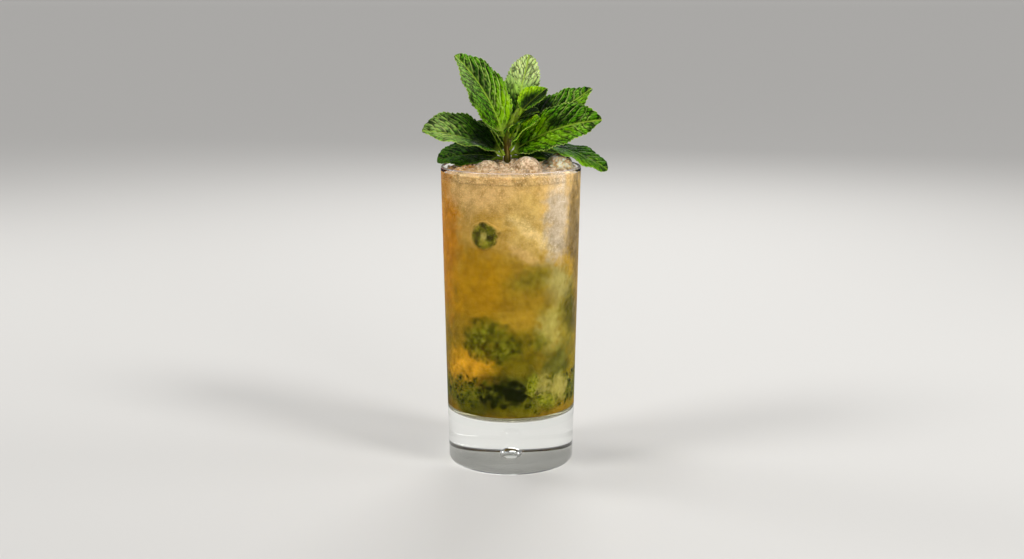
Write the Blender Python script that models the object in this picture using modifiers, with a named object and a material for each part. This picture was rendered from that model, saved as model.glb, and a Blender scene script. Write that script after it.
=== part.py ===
"""Queen's Park swizzle: an iced rum drink in a straight highball glass, topped with crushed ice and a sprig of mint.

Metres, +Z up. The origin is the centre of the foot, on the table. The drink's front faces -Y.
"""

import math
import random
from dataclasses import dataclass

import bmesh
import bpy
from mathutils import Vector

MM = 0.001

# The glass
GLASS_HEIGHT = 152 * MM
RIM_RADIUS = 35 * MM
FOOT_RADIUS = 32 * MM
RIM_WALL = 1.6 * MM
FLOOR_HEIGHT = 27 * MM
FLOOR_WALL = 2.4 * MM
FLOOR_CORNER = 3.5 * MM
HEEL = 2.5 * MM

# The drink and the ice on it
GAP = 0.3 * MM
DRINK_LEVEL = 146 * MM
ICE_EDGE_HEIGHT = 150 * MM
ICE_CROWN_HEIGHT = 153 * MM
HEAP_STEPS = 40
LUMP_COUNT = 44
LUMP_RADIUS = (2.2 * MM, 3.8 * MM)
LUMP_RISE = (0.5, 0.95)
LUMP_SWELL = 1.14
LEAST_LUMP = 1.3 * MM
LUMP_SEED = 7
GOLDEN_ANGLE = math.radians(137.5)

# The sprig
STEM_RADIUS = 1.5 * MM
STEM_TIP_RADIUS = 0.9 * MM
STEM_FOOT = (-1.8 * MM, 2 * MM, 132 * MM)
STEM_LENGTH = 48 * MM
STEM_STRAIGHT = 30 * MM
STEM_LEAN = 6 * MM
LEAF_THICKNESS = 0.5 * MM
PETIOLE = 3 * MM
PETIOLE_HALF_WIDTH = 0.7 * MM
TOOTH_DEPTH = 0.05
BLADE_SWELL = 0.62
BLADE_TAPER = 0.62

TURN_STEPS = 64
CORNER_STEPS = 4


@dataclass
class Leaf:
    """A mint leaf, in millimetres and degrees. Its azimuth runs from +X towards +Y, and its roll is about the midrib.

    The droop is how far the midrib bends down from its first elevation, and the twist how far the roll grows.
    """

    name: str
    height: float
    azimuth: float
    elevation: float
    droop: float
    roll: float
    twist: float
    length: float
    width: float
    fold: float = 15
    cup: float = 0.04
    rows: int = 14
    columns: int = 6


@dataclass
class Lump:
    """A lump of ice that stands out of the heap."""

    x: float
    y: float
    top: float
    radius: float
    detail: int = 2


LEAVES = (
    Leaf("mint_leaf_tall_left", 166, 186, 74, 30, -50, 27, 47, 27, fold=12),
    Leaf("mint_leaf_left_upper", 156.2, 192, 33.5, 31, -35, -19, 43, 27, fold=26),
    Leaf("mint_leaf_left_low", 154.8, 171, 14, 35, -29, 11, 34, 26, fold=20, cup=0.16),
    Leaf("mint_leaf_top_back", 172, 71, 48, -7, 17, -2, 42.5, 19, fold=19, cup=0.08),
    Leaf("mint_leaf_back_mid", 163, 112, 46, 25, -5, 0, 29, 17),
    Leaf("mint_leaf_back_low", 158.5, 99, 18, 40, 5, 0, 40, 20),
    Leaf("mint_leaf_back_right", 163, 50, 27, 30, 20, 0, 40, 20),
    Leaf("mint_leaf_young_bright", 176.5, 30, 44, 14, 19, -16, 21, 17, fold=22, rows=10, columns=4),
    Leaf("mint_leaf_right_upper", 166, 17, 23, -11, 34, -24, 48, 23),
    Leaf("mint_leaf_right_front", 157.5, -36, 34, 28, 62, 14, 57, 24, cup=0.01),
    Leaf("mint_leaf_right_low", 158.2, 0, 16.5, 54, 5, 50, 50.5, 27, fold=1, cup=0.01),
    Leaf("mint_leaf_young_right", 173.2, -38, 33, 25, 30, 0, 16, 9, fold=20, rows=10, columns=4),
    Leaf("mint_leaf_right_under", 156.1, -13, -1, 4, 48, 0, 17, 8.8, rows=10, columns=4),
    Leaf("mint_leaf_back_under", 157.3, 42, 5, 20, 50, 0, 34, 13, rows=10, columns=4),
    Leaf("mint_leaf_left_under", 156.6, 140, 52, 20, -15, 0, 24, 15, rows=10, columns=4),
    Leaf("mint_leaf_young_low", 159.6, -47, 47, 18, 40, 0, 27, 14, fold=20, rows=10, columns=4),
    Leaf("mint_leaf_front_small", 165.5, -60, 50, 20, 20, 0, 12, 8, fold=20, rows=8, columns=4),
    Leaf("mint_leaf_left_small", 156.8, 219, 63, 10, -20, 0, 15, 8.6, fold=20, rows=8, columns=4),
)

DOMES = (
    Lump(-11.5, -15, 156.3, 6.6, 3),
    Lump(7.6, -15, 158.0, 7.2, 3),
    Lump(24.5, -2.5, 158.6, 6.4, 3),
)


def clear_scene():
    for obj in list(bpy.data.objects):
        bpy.data.objects.remove(obj)


def collection(name):
    made = bpy.data.collections.new(name)
    bpy.context.scene.collection.children.link(made)
    return made


def principled(name, colour, roughness, transmission=0.0):
    material = bpy.data.materials.new(name)
    material.use_nodes = True
    shader = material.node_tree.nodes["Principled BSDF"]
    shader.inputs["Base Color"].default_value = (*colour, 1)
    shader.inputs["Roughness"].default_value = roughness
    shader.inputs["Transmission Weight"].default_value = transmission
    return material


def object_from(bm, name, home, material):
    mesh = bpy.data.meshes.new(name)
    bm.to_mesh(mesh)
    bm.free()
    mesh.shade_smooth()
    mesh.materials.append(material)
    obj = bpy.data.objects.new(name, mesh)
    home.objects.link(obj)
    return obj


def helper(obj):
    obj.hide_render = True
    obj.display_type = "WIRE"


def arc(centre, radius, start, end, steps=CORNER_STEPS):
    """Points of an arc in the (radius, height) plane, angles in degrees."""
    angles = [math.radians(start + (end - start) * i / steps) for i in range(steps + 1)]
    return [(centre[0] + radius * math.cos(a), centre[1] + radius * math.sin(a)) for a in angles]


def turned(name, profile, home, material, steps=TURN_STEPS):
    """A profile of (radius, height) points turned about Z. It ends on the axis, and its outer side runs downwards."""
    bm = bmesh.new()
    verts = [bm.verts.new((r, 0, z)) for r, z in profile]
    for pair in zip(verts, verts[1:]):
        bm.edges.new(pair)
    obj = object_from(bm, name, home, material)
    screw = obj.modifiers.new("Turn", "SCREW")
    screw.steps = screw.render_steps = steps
    screw.use_merge_vertices = True
    screw.merge_threshold = 0.00005
    return obj


def outer_radius(height):
    share = (height - HEEL) / (GLASS_HEIGHT - HEEL)
    return FOOT_RADIUS + (RIM_RADIUS - FOOT_RADIUS) * share


def inner_radius(height):
    share = (height - FLOOR_HEIGHT) / (GLASS_HEIGHT - FLOOR_HEIGHT)
    return outer_radius(height) - (FLOOR_WALL + (RIM_WALL - FLOOR_WALL) * share)


def glass(home, material):
    lip = RIM_WALL / 2
    corner_height = FLOOR_HEIGHT + FLOOR_CORNER
    profile = [(0, FLOOR_HEIGHT)]
    profile += arc((inner_radius(corner_height) - FLOOR_CORNER, corner_height), FLOOR_CORNER, -90, 0)
    profile += arc((RIM_RADIUS - lip, GLASS_HEIGHT - lip), lip, 180, 0, 6)
    profile += arc((FOOT_RADIUS - HEEL, HEEL), HEEL, 0, -90)
    profile += [(0, 0)]
    return turned("glass", profile, home, material)


def drink(home, material, stem_cutter):
    corner_height = FLOOR_HEIGHT + FLOOR_CORNER
    floor_radius = inner_radius(corner_height) - FLOOR_CORNER
    profile = [(0, DRINK_LEVEL), (inner_radius(DRINK_LEVEL) - GAP, DRINK_LEVEL)]
    profile += arc((floor_radius, corner_height), FLOOR_CORNER - GAP, 0, -90)
    profile += [(0, FLOOR_HEIGHT + GAP)]
    body = turned("drink", profile, home, material)
    cut(body, stem_cutter)
    return body


def cut(obj, cutter):
    boolean = obj.modifiers.new("Stem hole", "BOOLEAN")
    boolean.operation = "DIFFERENCE"
    boolean.object = cutter


def stem_centre(along):
    """A point on the stem's middle line, which is straight where it stands in the drink and leans above it."""
    bent = max(0.0, along - STEM_STRAIGHT) / (STEM_LENGTH - STEM_STRAIGHT)
    foot = Vector(STEM_FOOT)
    return foot + Vector((STEM_LEAN * bent**2, 0, along))


def stem_radius(along):
    share = max(0.0, along - STEM_STRAIGHT) / (STEM_LENGTH - STEM_STRAIGHT)
    return STEM_RADIUS + (STEM_TIP_RADIUS - STEM_RADIUS) * share


def stem(home, material, points=14):
    curve = bpy.data.curves.new("mint_stem", "CURVE")
    curve.dimensions = "3D"
    curve.bevel_depth = STEM_RADIUS
    curve.bevel_resolution = 2
    curve.use_fill_caps = True
    spline = curve.splines.new("POLY")
    spline.points.add(points - 1)
    for i, point in enumerate(spline.points):
        along = STEM_LENGTH * i / (points - 1)
        point.co = (*stem_centre(along), 1)
        point.radius = stem_radius(along) / STEM_RADIUS
    curve.materials.append(material)
    obj = bpy.data.objects.new("mint_stem", curve)
    home.objects.link(obj)
    return obj


def stem_cutter(home, material):
    """The hole that the stem stands in, from below its foot to above the ice."""
    bm = bmesh.new()
    depth = STEM_STRAIGHT + 2 * GAP
    radius = STEM_RADIUS + GAP
    bmesh.ops.create_cone(bm, cap_ends=True, segments=16, radius1=radius, radius2=radius, depth=depth)
    centre = stem_centre(0) + Vector((0, 0, depth / 2 - GAP))
    bmesh.ops.translate(bm, verts=bm.verts, vec=centre)
    obj = object_from(bm, "stem_cutter", home, material)
    helper(obj)
    return obj


def half_width(leaf, share):
    """How far the blade reaches from its midrib, share running from the petiole to the tip."""
    widest = BLADE_SWELL / (BLADE_SWELL + BLADE_TAPER)
    most = widest**BLADE_SWELL * (1 - widest) ** BLADE_TAPER
    share = min(max(share, 0.0), 1.0)
    return leaf.width * MM / 2 * share**BLADE_SWELL * (1 - share) ** BLADE_TAPER / most


def midrib_frame(leaf, share):
    """The midrib's point at a share of its length, and the directions across and out of the blade there."""
    azimuth, elevation, droop = (math.radians(a) for a in (leaf.azimuth, leaf.elevation, leaf.droop))
    roll = math.radians(leaf.roll + leaf.twist * (share - 0.5))
    outward = Vector((math.cos(azimuth), math.sin(azimuth), 0))
    side = Vector((-math.sin(azimuth), math.cos(azimuth), 0))
    up = Vector((0, 0, 1))
    foot_along = leaf.height * MM - STEM_FOOT[2]
    foot = stem_centre(foot_along) + outward * (stem_radius(foot_along) + GAP + LEAF_THICKNESS)
    bend = droop / (leaf.length * MM)
    heading = elevation - droop * share
    reach = (math.sin(elevation) - math.sin(heading)) / bend
    rise = (math.cos(heading) - math.cos(elevation)) / bend
    normal = (outward * math.cos(heading) + up * math.sin(heading)).cross(side)
    across = side * math.cos(roll) + normal * math.sin(roll)
    out = normal * math.cos(roll) - side * math.sin(roll)
    return foot + outward * reach + up * rise, across, out


def blade_point(leaf, share, offset_share, tooth=0.0):
    """A point of the leaf's middle surface, which is folded along the midrib: offset_share runs from -1 to 1."""
    middle, across, out = midrib_frame(leaf, share)
    fold = math.radians(leaf.fold)
    blade_share = (leaf.length * share - PETIOLE / MM) / (leaf.length - PETIOLE / MM)
    half = max(half_width(leaf, blade_share) * (1 - tooth), PETIOLE_HALF_WIDTH)
    offset = offset_share * half
    lift = abs(offset) * math.sin(fold) - leaf.cup * offset**2 / (leaf.width * MM / 2)
    return middle + across * offset * math.cos(fold) + out * lift


def mint_leaf(leaf, home, material):
    bm = bmesh.new()
    bmesh.ops.create_grid(bm, x_segments=leaf.rows, y_segments=leaf.columns, size=0.5)
    for vert in bm.verts:
        share = vert.co.x + 0.5
        offset_share = 2 * vert.co.y
        row = round(share * leaf.rows)
        at_edge = abs(offset_share) > 0.99
        vert.co = blade_point(leaf, share, offset_share, TOOTH_DEPTH * (row % 2) * at_edge)
    bmesh.ops.triangulate(bm, faces=bm.faces)
    obj = object_from(bm, leaf.name, home, material)
    solidify = obj.modifiers.new("Blade", "SOLIDIFY")
    solidify.thickness = LEAF_THICKNESS
    solidify.offset = 0
    return obj


def leaf_samples():
    """Points on every leaf, for keeping the ice clear of them."""
    return [
        blade_point(leaf, i / 24, j / 4)
        for leaf in LEAVES
        for i in range(25)
        for j in range(-4, 5)
    ]


def ice_lump(lump, home, material, dice):
    """A rough, rounded lump whose top is at a given height."""
    radius = lump.radius * MM
    bm = bmesh.new()
    bmesh.ops.create_icosphere(bm, subdivisions=lump.detail, radius=radius)
    waves = [(Vector([dice.uniform(-1, 1) for _ in range(3)]), dice.uniform(0, 6)) for _ in range(5)]
    for vert in bm.verts:
        way = vert.co.normalized()
        swell = sum(math.sin(5 * way.dot(axis) + phase) for axis, phase in waves) / len(waves)
        vert.co = vert.co * (1 + 0.12 * swell)
    top = max(vert.co.z for vert in bm.verts)
    bmesh.ops.translate(bm, verts=bm.verts, vec=(lump.x * MM, lump.y * MM, lump.top * MM - top))
    for vert in bm.verts:
        vert.co.z = max(vert.co.z, DRINK_LEVEL + 2 * GAP)
    obj = object_from(bm, "lump", home, material)
    helper(obj)
    return obj


def heap_surface(radius):
    """Height of the bare heap's top at a distance from the glass's axis."""
    share = radius / inner_radius(ICE_EDGE_HEIGHT)
    return ICE_CROWN_HEIGHT - (ICE_CROWN_HEIGHT - ICE_EDGE_HEIGHT) * share**2


def heap_core(home, material):
    edge = inner_radius(ICE_EDGE_HEIGHT) - GAP
    profile = [(edge * share, heap_surface(edge * share)) for share in (0, 0.35, 0.65, 0.85, 1)]
    profile += [(inner_radius(DRINK_LEVEL) - GAP, DRINK_LEVEL + GAP), (0, DRINK_LEVEL + GAP)]
    core = turned("crushed_ice", profile, home, material, HEAP_STEPS)
    apply_modifiers(core)
    return core


def apply_modifiers(obj):
    graph = bpy.context.evaluated_depsgraph_get()
    made = bpy.data.meshes.new_from_object(obj.evaluated_get(graph))
    obj.modifiers.clear()
    obj.data = made


def scattered_lumps(dice):
    """Lumps spread evenly over the heap on a sunflower spiral."""
    for i in range(LUMP_COUNT):
        radius = dice.uniform(*LUMP_RADIUS)
        reach = (inner_radius(ICE_EDGE_HEIGHT) - GAP - LUMP_SWELL * radius) * math.sqrt((i + 0.5) / LUMP_COUNT)
        angle = i * GOLDEN_ANGLE + dice.uniform(-0.2, 0.2)
        top = heap_surface(reach) + radius * dice.uniform(*LUMP_RISE)
        yield Lump(reach * math.cos(angle) / MM, reach * math.sin(angle) / MM, top / MM, radius / MM)


def shrunk_clear(lump, samples):
    """The lump made smaller until it clears the leaves, or None if hardly any of it would be left."""
    radius, top = lump.radius, lump.top
    while radius > LEAST_LUMP / MM:
        centre = Vector((lump.x, lump.y, top - radius)) * MM
        reach = radius * MM * LUMP_SWELL + LEAF_THICKNESS + GAP
        if all((sample - centre).length > reach for sample in samples):
            return Lump(lump.x, lump.y, top, radius, lump.detail)
        radius -= 0.3
        top -= 0.3
    return None


def crushed_ice(home, lumps, material, stem_hole):
    """The heap: a low core with the lumps that show fused on, and the hole for the stem."""
    heap = heap_core(home, material)
    dice = random.Random(LUMP_SEED)
    samples = leaf_samples()
    for lump in (*DOMES, *scattered_lumps(dice)):
        fitted = shrunk_clear(lump, samples)
        if fitted:
            ice_lump(fitted, lumps, material, dice)
    union = heap.modifiers.new("Lumps", "BOOLEAN")
    union.operation = "UNION"
    union.operand_type = "COLLECTION"
    union.collection = lumps
    union.solver = "EXACT"
    apply_modifiers(heap)
    for lump in list(lumps.objects):
        bpy.data.objects.remove(lump)
    cut(heap, stem_hole)
    return heap


def main():
    clear_scene()
    parts = collection("queens_park_swizzle")
    helpers = collection("cutters")
    clear = principled("glass", (0.95, 0.97, 0.97), 0.03, 1.0)
    amber = principled("iced drink", (0.72, 0.48, 0.14), 0.2, 0.3)
    ice = principled("crushed ice", (0.86, 0.82, 0.74), 0.25, 0.5)
    green = principled("mint leaf", (0.10, 0.32, 0.04), 0.4)
    stalk = principled("mint stem", (0.26, 0.33, 0.10), 0.5)

    glass(parts, clear)
    hole = stem_cutter(helpers, ice)
    drink(parts, amber, hole)
    crushed_ice(parts, collection("lumps"), ice, hole)
    stem(parts, stalk)
    for leaf in LEAVES:
        mint_leaf(leaf, parts, green)


main()
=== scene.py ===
import math
import random

import bpy
import numpy as np
from mathutils import Euler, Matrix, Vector, noise


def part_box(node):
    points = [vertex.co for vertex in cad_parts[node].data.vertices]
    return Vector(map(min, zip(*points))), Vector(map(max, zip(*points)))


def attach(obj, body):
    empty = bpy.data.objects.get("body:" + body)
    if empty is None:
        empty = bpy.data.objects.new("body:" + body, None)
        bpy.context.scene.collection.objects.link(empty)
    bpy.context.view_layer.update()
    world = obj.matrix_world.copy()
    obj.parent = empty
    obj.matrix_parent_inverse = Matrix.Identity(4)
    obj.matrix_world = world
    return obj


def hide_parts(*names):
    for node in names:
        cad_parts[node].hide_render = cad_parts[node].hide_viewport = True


mm = 0.001
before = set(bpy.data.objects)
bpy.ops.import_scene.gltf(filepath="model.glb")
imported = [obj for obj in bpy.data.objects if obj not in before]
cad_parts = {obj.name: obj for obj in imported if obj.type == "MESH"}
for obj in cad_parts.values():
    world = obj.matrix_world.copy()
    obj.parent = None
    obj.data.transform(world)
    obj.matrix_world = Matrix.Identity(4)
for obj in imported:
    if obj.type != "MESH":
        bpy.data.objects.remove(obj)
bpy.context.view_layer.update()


# small helpers used by every piece
def deselectAll():
    if bpy.context.object and bpy.context.object.mode != "OBJECT":
        bpy.ops.object.mode_set(mode="OBJECT")
    bpy.ops.object.select_all(action="DESELECT")


def takeHold(piece):  # the only thing selected, and active
    deselectAll()
    piece.select_set(True)
    bpy.context.view_layer.objects.active = piece


def applyModifiers(piece):
    takeHold(piece)
    for modifier in list(piece.modifiers):
        bpy.ops.object.modifier_apply(modifier=modifier.name)


def settle(piece, name, material, slotName, *nodes):  # place goes into the mesh, then finish and body
    takeHold(piece)
    bpy.ops.object.transform_apply(location=True, rotation=True, scale=True)
    piece.name = name
    piece.data.name = name
    piece.data.materials.clear()
    piece.data.materials.append(material)
    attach(piece, "root")
    if nodes:
        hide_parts(*nodes)


def newShape(add, **settings):  # a basic mesh, the only thing selected
    deselectAll()
    add(**settings)
    return bpy.context.object


def joinPieces(first, *others):
    takeHold(first)
    for other in others:
        other.select_set(True)
    bpy.ops.object.join()
    return first


def smoothShade(piece, degrees):
    takeHold(piece)
    bpy.ops.object.shade_smooth_by_angle(angle=math.radians(degrees))


def tone(red, green, blue):  # an everyday 0-255 colour as the linear colour that shaders take
    linear = [((c / 255 + 0.055) / 1.055) ** 2.4 if c > 10 else c / 255 / 12.92 for c in (red, green, blue)]
    return (*linear, 1)


def arcRings(radius, height, size, start, end, steps):  # (radius, height) pairs round a corner, angles in degrees
    angles = [math.radians(start + (end - start) * i / steps) for i in range(steps + 1)]
    return [(radius + size * math.cos(a), height + size * math.sin(a)) for a in angles]


def turnRings(rings, sides):  # a round solid drawn out ring by ring, then closed at both ends
    radius, height = rings[0]
    shape = newShape(bpy.ops.mesh.primitive_circle_add, vertices=sides, radius=radius, location=(0, 0, height))
    bpy.ops.object.mode_set(mode="EDIT")
    bpy.ops.mesh.select_mode(type="EDGE")
    bpy.ops.mesh.select_all(action="SELECT")
    for nextRadius, nextHeight in rings[1:]:
        bpy.ops.mesh.extrude_edges_move(TRANSFORM_OT_translate={"value": (0, 0, nextHeight - height)})
        grow = nextRadius / radius
        bpy.ops.transform.resize(value=(grow, grow, 1))
        radius, height = nextRadius, nextHeight
    bpy.ops.mesh.select_all(action="SELECT")
    bpy.ops.mesh.fill_holes(sides=0)
    bpy.ops.mesh.normals_make_consistent(inside=False)
    bpy.ops.object.mode_set(mode="OBJECT")
    bpy.ops.object.transform_apply(location=True)
    return shape


# materials are built up from these
def setInputs(node, values):  # numbers and colours are set, outputs of other nodes are linked
    for name, value in values.items():
        if isinstance(value, bpy.types.NodeSocket):
            node.id_data.links.new(value, node.inputs[name])
        else:
            node.inputs[name].default_value = value


def addNode(near, kind, values=None, **settings):  # into the node tree of any node or socket of the material
    node = near.id_data.nodes.new(kind)
    for key, setting in settings.items():
        setattr(node, key, setting)
    setInputs(node, values or {})
    return node


def newMaterial(name):
    material = bpy.data.materials.new(name)
    material.use_nodes = True
    return material, material.node_tree.nodes["Principled BSDF"]


def objectPlace(shader):
    return addNode(shader, "ShaderNodeTexCoord").outputs["Object"]


def storedValue(shader, label, output="Fac"):
    return addNode(shader, "ShaderNodeAttribute", attribute_name=label).outputs[output]


def noiseAt(place, scale, detail=3.0, distortion=0.0):
    values = {"Vector": place, "Scale": scale, "Detail": detail, "Distortion": distortion}
    return addNode(place, "ShaderNodeTexNoise", values).outputs["Fac"]


def cellsAt(place, scale):
    return addNode(place, "ShaderNodeTexVoronoi", {"Vector": place, "Scale": scale}).outputs["Distance"]


def rampOf(value, *stops):  # stops are (place, colour)
    node = addNode(value, "ShaderNodeValToRGB", {"Fac": value})
    elements = node.color_ramp.elements
    while len(elements) < len(stops):
        elements.new(1.0)
    for element, (place, colour) in zip(elements, stops):
        element.position = place
        element.color = colour
    return node.outputs["Color"]


def spread(value, low, high, toLow=0.0, toHigh=1.0):  # a value's range brought to another, clamped
    values = {"Value": value, "From Min": low, "From Max": high, "To Min": toLow, "To Max": toHigh}
    return addNode(value, "ShaderNodeMapRange", values, interpolation_type="SMOOTHSTEP").outputs["Result"]


def mathOf(operation, first, second):
    return addNode(first, "ShaderNodeMath", {0: first, 1: second}, operation=operation).outputs["Value"]


def plusOf(first, second):
    return mathOf("ADD", first, second)


def timesOf(first, second):
    return mathOf("MULTIPLY", first, second)


def blendOf(share, first, second, mode="MIX"):
    near = first if isinstance(share, float) else share
    values = {"Factor": share, "A": first, "B": second}
    return addNode(near, "ShaderNodeMix", values, data_type="RGBA", blend_type=mode).outputs["Result"]


def bumpInto(shader, height, strength, distance):
    bump = addNode(shader, "ShaderNodeBump", {"Strength": strength, "Distance": distance, "Height": height})
    setInputs(shader, {"Normal": bump.outputs["Normal"]})


def softInside(shader, weight, radius, scale):  # light spreads under the surface
    setInputs(shader, {"Subsurface Weight": weight, "Subsurface Radius": radius, "Subsurface Scale": scale})


def mixShaders(share, first, second):
    return addNode(first, "ShaderNodeMixShader", {0: share, 1: first, 2: second}).outputs["Shader"]


def letLightThrough(shader, tint, unmirrored=0.0):  # lamps light what is inside, past the clear surface
    path = addNode(shader, "ShaderNodeLightPath")
    clear = addNode(shader, "ShaderNodeBsdfTransparent", {"Color": tint})
    surface = shader.outputs["BSDF"]
    if unmirrored:  # this share of it bends light but mirrors nothing
        colour, bending = shader.inputs["Base Color"].default_value, shader.inputs["IOR"].default_value
        bend = addNode(shader, "ShaderNodeBsdfRefraction", {"Color": colour, "Roughness": 0, "IOR": bending})
        surface = mixShaders(unmirrored, surface, bend.outputs["BSDF"])
    surface = mixShaders(path.outputs["Is Shadow Ray"], surface, clear.outputs["BSDF"])
    setInputs(shader.id_data.nodes["Material Output"], {"Surface": surface})


# camera, floor and light, in metres
studio = {
    "lens": 47.28,
    "place": (0.00058, -0.66927, 0.23018),
    "pitch": -11.53,  # degrees below level
    "floorSize": 600.0,
    "farRise": (10.0, 50.0),  # the floor climbs like a dish far away, so that no sky shows
    "floorTone": tone(214, 212, 208),
    "skyTone": tone(238, 238, 240),
    "skyStrength": 0.2,
}

suns = (  # name, turn from the camera's side and height in degrees, strength, softness in degrees
    ("rightSun", 56, 38, 1.25, 16),
    ("leftSun", -66, 40, 1.05, 20),
)

softboxes = (  # name, place, aim, width, height, watts
    ("leftBox", (-1.00, 0.45, 0.62), (0, 0, 0.15), 0.30, 0.6, 2.5),
    ("rightBox", (0.80, 0.0, 0.32), (0, 0, 0.11), 0.28, 0.62, 1.6),
    ("backBox", (0.20, 0.95, 0.85), (0, 0, 0.17), 0.6, 0.5, 5.0),
    ("topBox", (-0.25, 0.12, 1.10), (0, 0, 0.18), 0.18, 0.18, 1.6),
    ("frontBox", (0.50, -0.95, 0.36), (0, 0, 0.12), 0.35, 0.35, 2.6),
)

iceSpot = {  # a narrow light on the dome at the right
    "place": (0.52, -0.86, 0.27),
    "aim": (0.0245, -0.004, 0.1545),
    "width": 2.1,  # degrees
    "blend": 0.8,
    "watts": 26.0,
    "radius": 0.02,
}


def makeCamera():
    camera = bpy.data.objects.new("camera", bpy.data.cameras.new("camera"))
    bpy.context.scene.collection.objects.link(camera)
    camera.data.lens = studio["lens"]
    camera.location = studio["place"]
    camera.rotation_euler = (math.radians(90 + studio["pitch"]), 0, 0)
    camera.data.clip_start = 0.01
    camera.data.clip_end = 1000
    bpy.context.scene.camera = camera
    bpy.context.scene.view_settings.view_transform = "Standard"


def makeFloor():
    floor = newShape(bpy.ops.mesh.primitive_plane_add, size=studio["floorSize"], location=(0, 0, 0))
    floor.name = "floor"
    bpy.ops.object.mode_set(mode="EDIT")
    bpy.ops.mesh.select_mode(type="EDGE")
    bpy.ops.mesh.select_all(action="SELECT")
    bpy.ops.mesh.region_to_loop()
    for rise in studio["farRise"]:
        bpy.ops.mesh.extrude_edges_move(TRANSFORM_OT_translate={"value": (0, 0, rise)})
        bpy.ops.transform.resize(value=(2, 2, 1))
    bpy.ops.object.mode_set(mode="OBJECT")
    material, shader = newMaterial("palePaper")
    setInputs(shader, {"Base Color": studio["floorTone"], "Roughness": 0.7})
    floor.data.materials.append(material)


def aimAt(place, target):
    return (Vector(target) - Vector(place)).to_track_quat("-Z", "Y").to_euler()


def hangLamp(name, kind, place, turn, **settings):
    lamp = bpy.data.lights.new(name, kind)
    for key, setting in settings.items():
        setattr(lamp, key, setting)
    holder = bpy.data.objects.new(name, lamp)
    holder.location = place
    holder.rotation_euler = turn
    bpy.context.scene.collection.objects.link(holder)


def makeLights():
    world = bpy.data.worlds.new("studioSky")
    bpy.context.scene.world = world
    world.use_nodes = True
    setInputs(world.node_tree.nodes["Background"], {"Color": studio["skyTone"], "Strength": studio["skyStrength"]})
    for name, turn, height, strength, softness in suns:
        hangLamp(name, "SUN", (0, 0, 0), (math.radians(90 - height), 0, math.radians(turn)),
                 energy=strength, angle=math.radians(softness))
    for name, place, aim, width, height, watts in softboxes:
        hangLamp(name, "AREA", place, aimAt(place, aim), shape="RECTANGLE", size=width, size_y=height, energy=watts)
    hangLamp("iceSpot", "SPOT", iceSpot["place"], aimAt(iceSpot["place"], iceSpot["aim"]),
             spot_size=math.radians(iceSpot["width"]), spot_blend=iceSpot["blend"], energy=iceSpot["watts"],
             shadow_soft_size=iceSpot["radius"])


makeCamera()
makeFloor()
makeLights()
print("camera, floor and light ready")


glassLow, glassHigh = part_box("glass")
drinkLow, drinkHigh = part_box("drink")

tumbler = {
    "height": glassHigh.z,
    "rimRadius": glassHigh.x,
    "footRadius": 32 * mm,
    "rimWall": 1.6 * mm,
    "floorWall": 2.4 * mm,
    "floorHeight": drinkLow.z - 0.3 * mm,  # the drink stands a hair above the floor
    "floorCorner": 3.5 * mm,
    "heel": 2.5 * mm,
    "flat": 0.4 * mm,  # a level strip that keeps the flat foot and floor flat in the shading
    "lipHeight": 0.55 * mm,
    "wetHeight": 149.6 * mm,  # the drink wets its inside, and the foot of the ice heap, up to here
    "sides": 192,
    "bending": 1.5,
    "wetBending": 1.12,  # where it bends light only as much as glass does against the drink
    "unmirrored": 0.88,  # round the drink it mirrors the room less than the foot and the rim do
    # painted highlight: the top of the lip is whitish and only partly clear, a painted bright line along the rim
    "lipHighlightTone": tone(255, 238, 222),
    "lipHighlightClear": 0.66,
    "bubble": {"width": 7.4 * mm, "height": 5.8 * mm, "centre": 5.6 * mm},
}


def outerRadius(height):
    share = (height - tumbler["heel"]) / (tumbler["height"] - tumbler["heel"])
    return tumbler["footRadius"] + (tumbler["rimRadius"] - tumbler["footRadius"]) * share


def innerRadius(height):
    share = (height - tumbler["floorHeight"]) / (tumbler["height"] - tumbler["floorHeight"])
    return outerRadius(height) - tumbler["floorWall"] + (tumbler["floorWall"] - tumbler["rimWall"]) * share


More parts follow.
